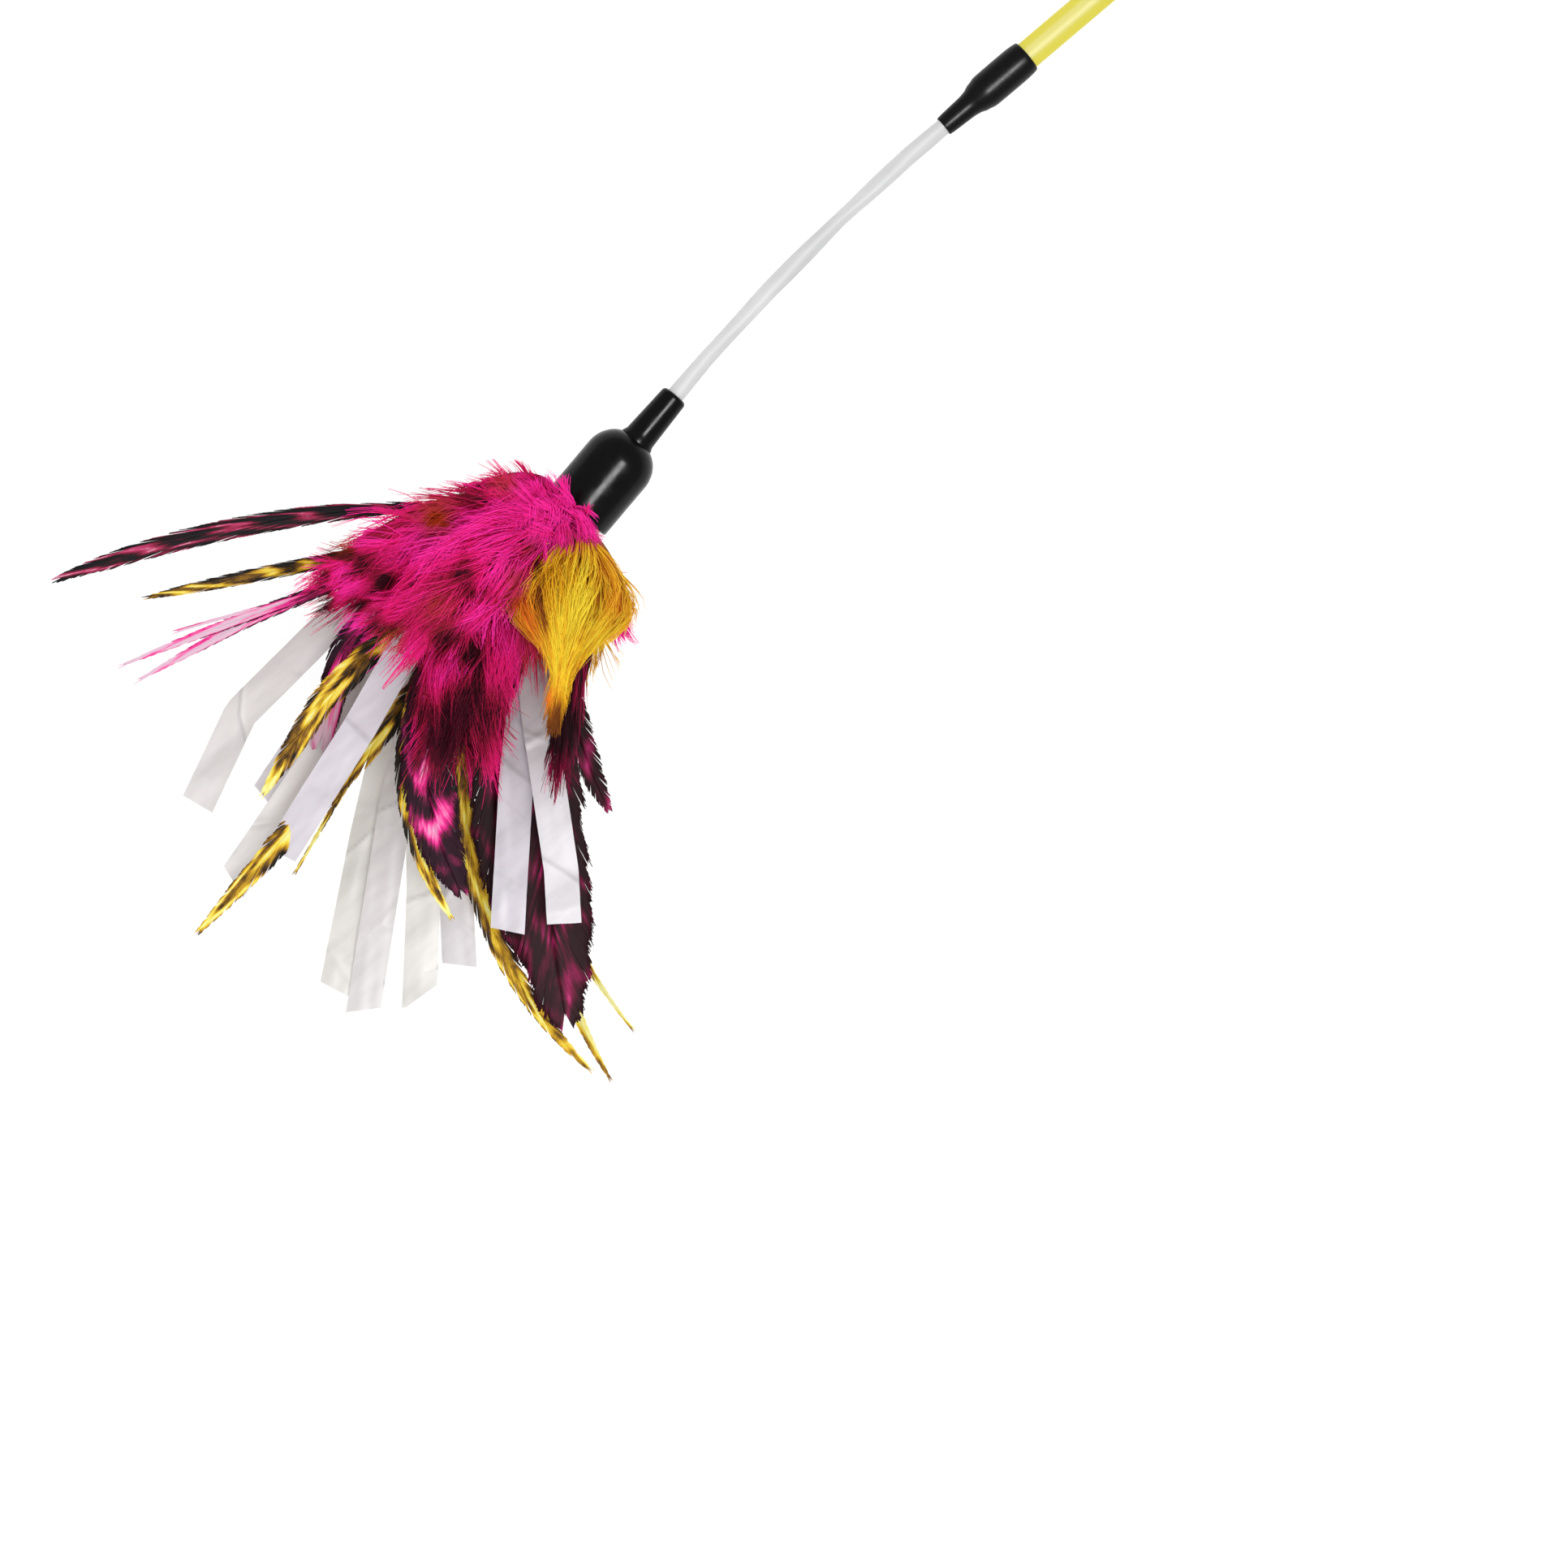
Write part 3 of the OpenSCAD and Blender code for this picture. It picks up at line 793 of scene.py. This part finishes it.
def marks(period, dark, slope, tilt=0.0, edges=(0.2, 0.2), uneven=0.5, pale=0):
    """A feather's own markings: bars at a period in mm, the share that is dark, how they
    slope towards both edges or tilt across, how dark each edge is, how uneven they are,
    and how much paler the feather is at its tip."""
    def tone(run, out, seed):
        stir = np.array([noise.noise(Vector((r / period * 0.8, o * 1.3, seed)))
                         for r, o in zip(run, out)])
        blot = np.array([noise.noise(Vector((r * 0.35, o * 2.4, seed + 9)))
                         for r, o in zip(run, out)])
        wave = (run / period + slope * abs(out) + tilt * out + uneven * stir) % 1
        light = np.clip((wave - dark) / BAR_EDGE, 0, 1) * np.clip((1 - wave) / BAR_EDGE, 0, 1)
        edge = np.where(out < 0, edges[0], edges[1]) * abs(out) ** 2
        tip = pale * np.clip((run - PALE_FROM) / PALE_OVER, 0, 1)
        return DARK_TONE + LIGHT_TONE * light + BLOT_TONE * uneven * blot - edge + tip
    return tone


# A hackle: fan, fan turn, layer, length share, width share, roll, its dye, the angle of
# its barbs, its markings, and the feathers it is made of, each with how far it leaves the
# fan angle, how far it swings on near its tip, its length share and its width share.
ONE = [(0, 0, 1, 1)]
PAIR = [(0, -2, 1, 0.5), (0, 5, 0.98, 0.55), (0, -8, 0.86, 0.22), (8, 44, 0.74, 1.3)]
FORK = [(0, -3, 1, 0.8), (0, 6, 0.93, 0.5)]
THREE = [(0, 0, 1, 1), (0, 12, 0.8, 0.3), (-14, 24, 0.74, 1)]
HACKLES = {
    "hackle_black_pink": (-54, 25, 3, 0.83, 0.9, 20, "hackle_black_pink", 9,
                          marks(17, 0.5, 0.1, 1.1, (0.2, 0.05), 0.8, 0.12), ONE),
    "hackle_gold_left": (-39, 1, 2, 0.68, 0.6, -14, "hackle_gold", 9,
                         marks(10, 0.48, 0.1, 0.35, (0.7, 0.3), 0.6, 0.1), ONE),
    "hackle_pink_pair": (-35, 10, 3, 0.75, 0.95, 10, "hackle_pink", 11,
                         marks(26, 0.2, 0.3, 0.2, (1.2, 1.0), 0.7, 0.7), PAIR),
    "hackle_gold_long": (-1, -1, 5, 0.905, 1.1, 4, "hackle_gold", 20,
                         marks(22, 0.46, 0.3, -0.3, (0.1, 0.45), 0.9, 0.1), THREE),
    "hackle_gold_curved": (-20, 94, 7, 0.775, 0.9, 4, "hackle_gold", 16,
                           marks(19, 0.42, 0.5, 0.2, (0.8, 0.3), 0.8, 0.15), ONE),
    "hackle_pink_barred": (-15, 84, 8, 0.705, 2.2, 0, "hackle_pink", 27,
                           marks(15, 0.38, 0.15, 0.15, (0.6, 0.5), 0.8), ONE),
    "hackle_maroon": (11, 52, 5, 0.755, 2.0, 0, "hackle_maroon", 27,
                      marks(13, 0.66, 0.3, 0, (0.2, 0.2), 1.0), ONE),
    "hackle_maroon_broad": (29, 22, 6, 0.81, 3.2, -1, "hackle_maroon", 26,
                            marks(12, 0.55, 0.3, 0, (0.3, 0.3), 1.1), ONE),
    "hackle_gold_lower": (1, 87, 4, 1.0, 0.95, 3, "hackle_gold", 17,
                          marks(21, 0.6, 0.5, -0.2, (0.5, 0.9), 0.9, 0.25), ONE),
    "hackle_gold_tip": (19, 55, 2, 0.945, 0.9, 2, "hackle_gold", 15,
                        marks(22, 0.3, 0.4, 0.2, (0.3, 0.7), 0.7, 0.2), FORK),
    "hackle_pink_right": (30, 38, 5, 0.465, 1.2, 2, "hackle_maroon", 27,
                          marks(12, 0.5, 0.5, 0, (0.3, 0.3), 0.5), ONE),
}
HACKLE_WIDTHS = [0.2, 0.3, 0.5, 0.75, 0.95, 1, 1, 0.92, 0.8, 0.6, 0.36, 0.1]
HACKLE_PLACES = np.linspace(0, 1, len(HACKLE_WIDTHS))


def hackle(name, fan, turn, layer, length, width, roll, dye, angle, tone, feathers, seed):
    """A hackle: its quill, and barbs on both sides that gather in small groups."""
    rng = np.random.default_rng(seed)
    lift = LOW_LIFT + LAYER_LIFT * layer
    strands = []
    for leave, swing, long, broad in feathers:
        run = HACKLE_LEN * length * long
        half = HACKLE_W * width * broad / 2
        slim = min(1, SLIM_HALF / half)
        at = follow(fan + leave, turn, lift, -lift * SETTLE, run, 1, roll,
                    [(place, 0, swing / 2) for place in SWING_AT])
        point, ahead, side, rise = at(np.linspace(0, 1, QUILL_POINTS))
        girth = np.linspace(QUILL_R, QUILL_TIP_R, QUILL_POINTS) * min(1, broad + 0.2)
        strands.append((point - rise * QUILL_DROP, girth, np.full(QUILL_POINTS, QUILL_TONE)))
        roots = np.arange(BARBS_FROM, BARBS_TO, BARB_STEP / run / (0.8 + 0.2 * width))
        group = np.cumsum(rng.uniform(*GROUP_LENGTHS, GROUPS))
        u = np.linspace(0, 1, BARB_POINTS)
        for hand in (-1, 1):
            slips = rng.uniform(-0.5, 0.5, GROUPS)
            for root in roots:
                root = root + rng.normal(0, BARB_SPREAD) * BARB_STEP / run
                g = np.searchsorted(group, root)
                slip = slips[g % GROUPS]
                group_start = group[max(0, g - 1)] if g else 0
                loose = max(0, 1 - root / LOOSE_UP_TO)
                part = angle / 10 * slim + LOOSE_ANGLE * loose
                sweep = math.radians(angle * (SWEEP_AT_ROOT - SWEEP_LOSS * root) + part * slip)
                out = half * np.interp(root, HACKLE_PLACES, HACKLE_WIDTHS)
                ragged = RAGGED_VANE * min(1, angle / 25) ** 2 + RAGGED_DOWN * loose
                out = out * (1 + ragged * slip + rng.normal(0, BARB_VARIES))
                out = max(out, LEAST_BARB)
                reach = out / math.tan(sweep) / run
                pull = GROUP_PULL * slim * (group_start + GROUP_MIDDLE - root)
                place = root + reach * u ** 0.9 + pull * u ** 2
                point, ahead, side, rise = at(np.clip(place, 0, OVERRUN))
                droop = -BARB_DROOP * out * u ** 2 + GROUP_RISE * slip * u
                spine = point + side * (hand * out * (u ** 0.95))[:, None] + rise * droop[:, None]
                radii = BARB_R * (0.75 + 0.3 * width) * (1 - BARB_TAPER * u)
                tones = tone(place * run, hand * u * out / half, seed)
                tones = tones + GROUP_TONE * slip + rng.normal(0, BARB_TONE)
                strands.append((spine, radii, tones))
    piece = draw_strands(name + "_feather", strands, dyes[dye])
    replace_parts(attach(piece, "tuft"), name)


for count, (name, facts) in enumerate(HACKLES.items()):
    hackle(name, *facts, seed=count + 31)

# Plumes: short, downy feathers that are dyed before they are tied in. Their barbs are too soft to
# hold together. They hang in wavy locks that lie along the feather, with stray ends all round, and
# the down inside is painted dark, as shade, because little light reaches it.
PLUME_LEN = 50
PLUME_W = 18
PLUME_T = 12
FULL = [0.5, 0.78, 0.93, 1.0, 1.03, 1.03, 0.98, 0.9, 0.78, 0.6]
LEAF = [0.35, 0.54, 0.74, 0.94, 1.1, 1.18, 1.02, 0.56, 0.24, 0.07]
SPIKE = [0.6, 0.9, 1.0, 1.0, 0.95, 0.85, 0.7, 0.55, 0.4, 0.25]
DOWN_FULL = 1.2
# the heart's strands lie side by side: how many points, where they end, how far apart and how fat
# they are, how fast they thin to the sides, and how much darker they are painted, as shade
HEART_POINTS = 14
HEART_END = 0.96
HEART_STEP = 0.3
HEART_GIRTH = 0.52
HEART_TAPER = 3.2
HEART_PAINTED_SHADE = 0.42
# a lock's barbs, and the points of each. It starts up to this share of the feather's
# length, reaches on by a share, and ends about here at most.
LOCK_BARBS = (9, 18)
LOCK_POINTS = 6
LOCKS_TO = 0.86
LOCK_REACH = (0.2, 0.4)
LOCK_END = 1.12
# it starts inside the down, deeper where locks spread, and ends near its surface, which is 1
LOCK_DEPTH = (0.35, 0.62)
OPEN_DEPTH = (0, 0.3)
LOCK_TOP = (0.8, 1.15)
# how it curls round, in radians, and drifts aside and waves, in mm, all less where it is
# silky, and how much it leans along the feather
LOCK_SWIRL = 0.8
LOCK_DRIFT = 2.4
LOCK_WAVE = (0.2, 1.0)
LOCK_LEAN = 0.06
# how much its barbs stray along, round and out of the down
BARB_STRAY = (0.018, 0.16, 0.06)
DOWN_R = (0.10, 0.16)
DOWN_TAPER = 0.72
# how far locks that spread wide hang down at their ends, in mm
HANG = 9

dyed("plume_pink", [
    (0.1, (0.06, 0.001, 0.012)), (0.34, (0.42, 0.006, 0.050)), (0.6, (0.86, 0.010, 0.20)),
    (0.9, (1.0, 0.028, 0.42))], speckle=0.2, roughness=0.75, rust=(0.50, 0.05, 0.006))
dyed("plume_yellow", [
    (0.08, (0.20, 0.055, 0.006)), (0.32, (0.60, 0.25, 0.010)), (0.58, (0.84, 0.47, 0.012)),
    (0.9, (0.95, 0.75, 0.045))], speckle=0.2, roughness=0.75, rust=(0.84, 0.20, 0.015))
dyed("plume_maroon", [
    (0.1, (0.02, 0.001, 0.005)), (0.34, (0.12, 0.003, 0.022)), (0.6, (0.42, 0.006, 0.075)),
    (0.9, (0.85, 0.02, 0.26))], speckle=0.25, roughness=0.75)
# A plume: fan, lift, fan turn, lift turn, length, width and thickness shares, its dye, how
# many locks it has, its mean tone, how far its locks spread, how silky they are, and its
# width from root to tip.
PLUMES = {
    "plume_pink_left": (-41, 32, 21, -12, 0.91, 0.8, 0.9, "plume_pink", 200, 0.66, 1, 0.1, FULL),
    "plume_pink_lower": (-3, 32, 38, -14, 0.98, 1.08, 0.9, "plume_pink", 240, 0.52, 1, 0.2, FULL),
    "plume_yellow_right": (41, 60, -9, -44, 0.80, 1.06, 0.9, "plume_yellow", 260, 0.58, 1, 0.75,
                           LEAF),
    "plume_pink_top": (-66, 52, 34, -36, 0.38, 0.5, 0.8, "plume_pink", 110, 0.62, 1, 0, FULL),
    "plume_pink_centre": (-19, 60, 12, -46, 0.92, 0.9, 0.9, "plume_pink", 220, 0.68, 1, 0.1, FULL),
    "plume_maroon": (41, 32, -8, -14, 0.88, 0.42, 0.9, "plume_maroon", 90, 0.36, 1, 0.5, SPIKE),
    "plume_pink_small": (59, 7, 4, -2, 0.34, 0.36, 0.4, "plume_pink", 50, 0.85, 1, 0.4, SPIKE),
    "plume_crown": (-16, 82, 0, -62, 0.34, 0.6, 0.8, "plume_pink", 150, 0.78, 1.1, 0, FULL),
    "underplume_left": (-40, -20, 10, 32, 0.52, 0.6, 0.25, "plume_maroon", 60, 0.5, 1, 0.2, FULL),
    "underplume_centre": (0, -20, 6, 32, 0.52, 0.6, 0.25, "plume_maroon", 60, 0.45, 1, 0.2, FULL),
    "underplume_right": (40, -20, -4, 32, 0.52, 0.6, 0.25, "plume_yellow", 60, 0.5, 1, 0.2, FULL),
}
# The tuft isn't one even colour. Painted highlights brighten its swells, painted shade darkens its
# deep pockets, and the dye has gone rusty in places. x, y and radius in mm, and how much.
PAINTED_HIGHLIGHTS = [(14, -13, 5, 0.3), (24, -17, 5, 0.28), (5, -8, 4, 0.25), (0, -2, 4, 0.25),
          (47, -19, 3, 0.35), (41, -26, 3.5, 0.3), (29, -19, 5, 0.2), (53, -20, 3, 0.3),
          (43, 2, 3, 0.45), (28, 8, 4, 0.35), (18, -2, 4, 0.3), (29, 0, 3.5, 0.3),
          (15, 15, 5, 0.42), (9, 10, 4, 0.1), (24, 19, 3, 0.25), (39, 4, 2, 0.6), (57, 4, 3, 0.3)]
PAINTED_SHADE_POCKETS = [(10, -16, 3, 0.45), (13, -18, 2.5, 0.45), (24.5, -7.6, 2.6, 0.85), (26, -3, 2, 0.7),
           (37, -30, 2, 1.1), (36.5, -25, 2, 1.0), (36, -20, 2, 0.9),
           (43, -29, 2, 1.1), (47, -26, 2, 1.1), (50, -22, 2, 1.0), (43, -20.5, 2, 1.0),
           (43.5, -15, 2.2, 0.8), (43, -11, 2, 0.7), (37, -2, 2.6, 0.75), (35, 2, 2.4, 0.6),
           (37, 5, 2.4, 0.75), (41, 8, 2.4, 0.6), (47, -2, 2.5, 0.7), (47, 7, 5, 0.4),
           (43, 14, 5, 0.4), (54, 12, 7, 0.6), (53, 0, 4, 0.4), (14.1, 3.4, 1.5, 1.2),
           (17.4, 6.7, 1.5, 1.2), (21, 9.6, 1.7, 1.2), (36, 26, 4, 1.0), (25, 21, 1.5, 0.5),
           (30, -12, 5, 0.28), (33, -20, 4, 0.25), (38, -8, 4, 0.3), (20, -24, 4, 0.2),
           (31, -5, 4, 0.25)]
RUSTS = [(18, -21, 3.5, 0.9), (21, -19, 2.5, 0.7), (5, -14, 2.5, 0.7), (33, -7, 3, 0.6),
         (35, -31, 2.5, 0.9), (44, -9, 2.5, 0.8), (12, -1, 2, 0.5), (17.7, 0.8, 2.2, 0.7),
         (21.5, 5, 2.4, 1.3), (24.5, 9.5, 2.3, 1.3), (28.5, 15, 2.3, 1.2), (32.5, 20.5, 2.4, 1.1),
         (4.5, 13, 3, 0.5), (9, 20, 3, 0.55), (5, 5, 2, 0.4)]
# the spots' edges wander by this much, in mm
RAGGED = 0.8


def near(points, spots):
    """How strongly points, seen from above, belong to the spots near them."""
    a, b = points[:, 0], points[:, 1]
    wander_x = RAGGED * (np.sin(0.9 * b + 1.7) * np.cos(0.5 * a) + 0.5 * np.sin(1.9 * a + 0.8 * b))
    wander_y = RAGGED * (np.sin(0.7 * a - 0.6 * b) + 0.5 * np.sin(1.6 * b + 2.3 * a + 1))
    level = np.zeros(len(points))
    for x, y, radius, much in spots:
        gap = (a + wander_x - x) ** 2 + (b + wander_y - y) ** 2
        level += much * np.exp(-gap / radius ** 2)
    return level


def painted_light_and_rust(points):
    """How the painted highlights and shade change the tone at points, and how rusty the points
    are.
    """
    return near(points, PAINTED_HIGHLIGHTS) - near(points, PAINTED_SHADE_POCKETS), near(points, RUSTS)


def plume(name, fan, lift, turn, lift_turn, length, width, thickness, dye, locks, mean,
          splay, silk, widths, seed):
    """A plume: a heart of down, painted dark as shade, under locks of long soft barbs."""
    rng = np.random.default_rng(seed)
    run = PLUME_LEN * length
    half_w, half_t = DOWN_FULL * PLUME_W * width / 2, DOWN_FULL * PLUME_T * thickness / 2
    at = follow(fan, turn, lift, lift_turn, run)
    width_places = np.linspace(0, 1, len(widths))
    strands = []

    # the heart is a handful of fat strands side by side, and a tuft that spreads has none
    spots = np.linspace(0, HEART_END, HEART_POINTS)
    point, ahead, side, rise = at(spots)
    girth = np.interp(spots, width_places, widths)
    for k in range(-2, 3) if splay == 1 else ():
        line = point + side * (k * HEART_STEP * half_w * girth)[:, None]
        fat = HEART_GIRTH * half_t * girth * math.sqrt(1 - (k / HEART_TAPER) ** 2)
        # painted shade: the heart's tone is darker than the plume's
        strands.append((line, fat, np.full(HEART_POINTS, mean - HEART_PAINTED_SHADE)))
    u = np.linspace(0, 1, LOCK_POINTS)
    for _ in range(locks):
        # where the lock starts along the feather and round it, and how far it reaches
        root = rng.uniform(0, LOCKS_TO) ** 0.8 / splay
        turn_at = rng.uniform(0, math.tau)
        reach = rng.uniform(*LOCK_REACH) * (1 + 1.2 * silk)
        reach = min(reach, LOCK_END - root + rng.normal(0, 0.04))
        # how deep in the down it starts and ends
        start_q = rng.uniform(*(LOCK_DEPTH if splay == 1 else OPEN_DEPTH))
        end_q = rng.uniform(*LOCK_TOP) * splay
        swirl = rng.normal(0, LOCK_SWIRL * (1 - 0.85 * silk))
        drift = rng.normal(0, LOCK_DRIFT * (1 - 0.9 * silk))
        lean = rng.normal(0, LOCK_LEAN)
        lock_tone = mean + rng.normal(0, 0.07 + 0.1 * silk)
        wave, phase = rng.uniform(*LOCK_WAVE) * (1 - 0.8 * silk), rng.uniform(0, math.tau)
        for _ in range(rng.integers(*LOCK_BARBS)):
            # the barbs of a lock draw together towards its end
            spread = rng.normal(0, 1, 3)
            place = root + reach * (1 + 0.2 * rng.normal()) * u
            place = place + BARB_STRAY[0] * spread[0] * (1 - 0.5 * u)
            angle = turn_at + swirl * u + BARB_STRAY[1] * spread[1] * (1 - 0.55 * u)
            q = start_q + (end_q - start_q + BARB_STRAY[2] * spread[2]) * u ** 0.8
            girth = np.interp(np.clip(place, 0, 1), width_places, widths)
            point, ahead, side, rise = at(np.clip(place, 0, OVERRUN))
            off_side = half_w * girth * q * np.cos(angle) + wave * np.sin(5 * u + phase) * u
            off_side = off_side + drift * u ** 2
            off_rise = half_t * girth * q * np.sin(angle)
            off_rise = off_rise + 0.5 * wave * np.cos(5 * u + phase) * u
            spine = point + side * off_side[:, None] + rise * off_rise[:, None]
            spine = spine + ahead * (lean * run * u)[:, None] * 0.2
            spine[:, 2] -= HANG * (splay - 1) * u ** 2
            radii = rng.uniform(*DOWN_R) * (1 - DOWN_TAPER * u ** 1.3)
            # painted shade: each barb is darker at its root, deep in the down, and lighter at its
            # end near the surface
            tones = lock_tone + 0.22 * (u - 0.5) + rng.normal(0, 0.05)
            strands.append((spine, radii, tones))
    piece = draw_strands(name + "_down", strands, dyes[dye], painted_light_and_rust)
    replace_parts(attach(piece, "tuft"), name)


for count, (name, facts) in enumerate(PLUMES.items()):
    plume(name, *facts, seed=count + 61)
